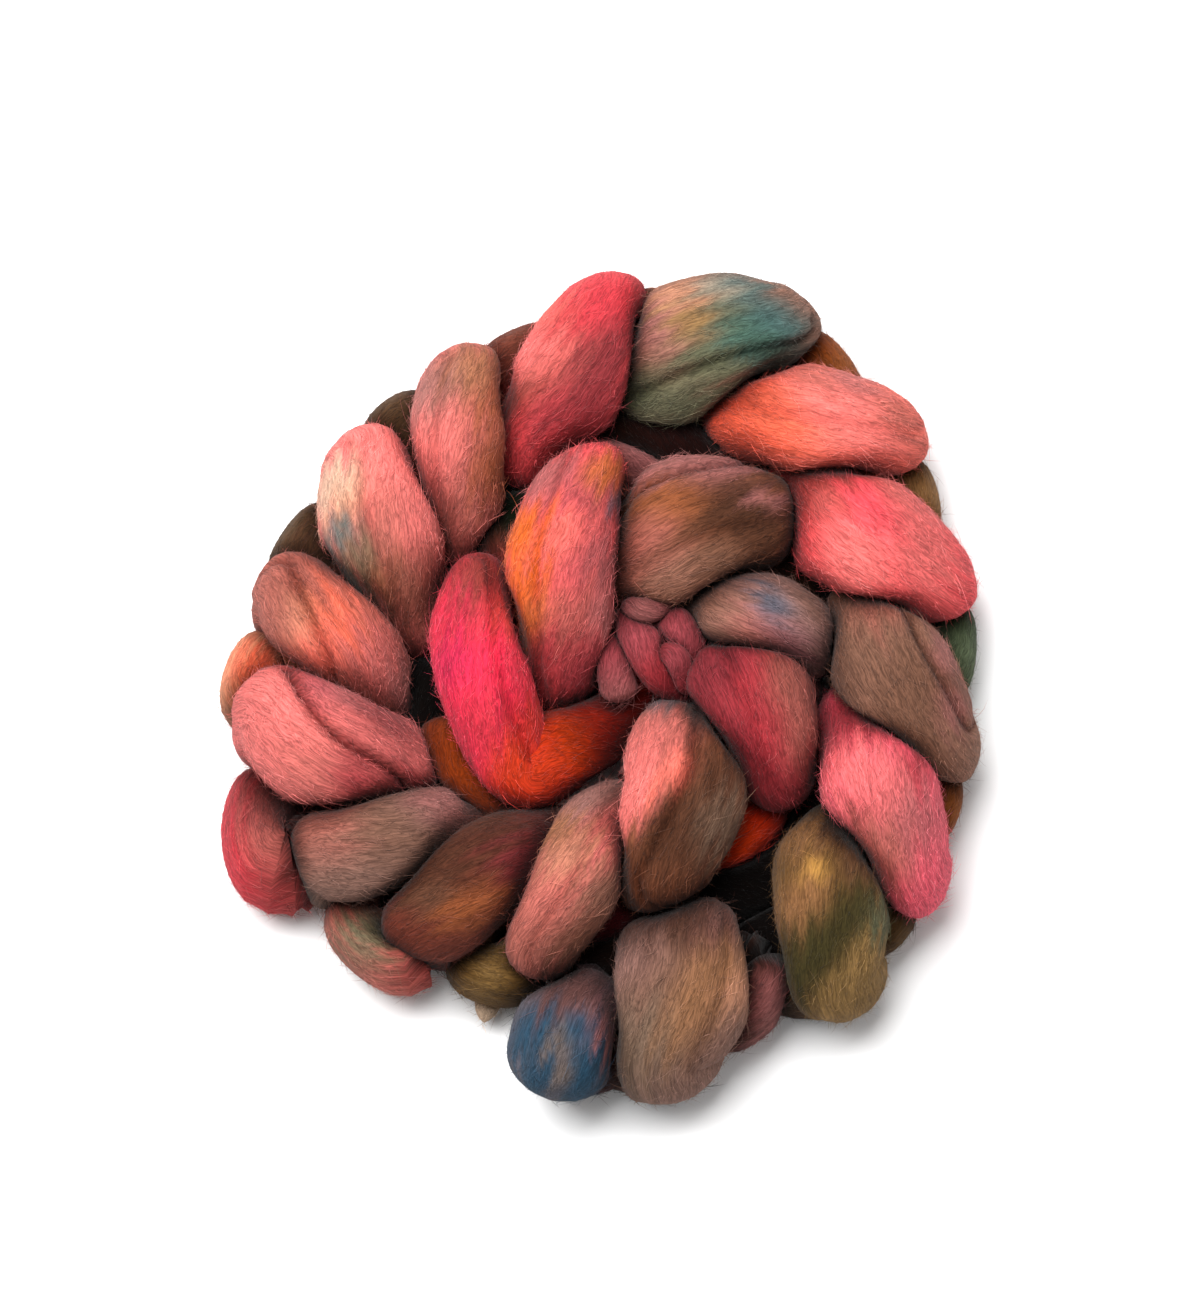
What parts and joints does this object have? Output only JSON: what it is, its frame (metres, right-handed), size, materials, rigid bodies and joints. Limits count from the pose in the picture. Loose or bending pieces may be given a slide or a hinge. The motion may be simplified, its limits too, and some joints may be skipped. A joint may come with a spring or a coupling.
{
  "type": "wool roving",
  "caption": "Thick hand-dyed combed wool roving, plaited into a chain of puffy loops and coiled into a flat round nest.",
  "frame": {"origin": "middle of the coil's outline in plan, on the surface that it lies on", "axes": "+Z up out of the coil, +Y away from its loose outer end, +X to the right seen from above with +Y up"},
  "size_m": [0.2175, 0.2444, 0.0561],
  "materials": {
    "wool": "matte"
  },
  "bodies": {
    "root": {"roving": "wool"}
  },
  "joints": []
}
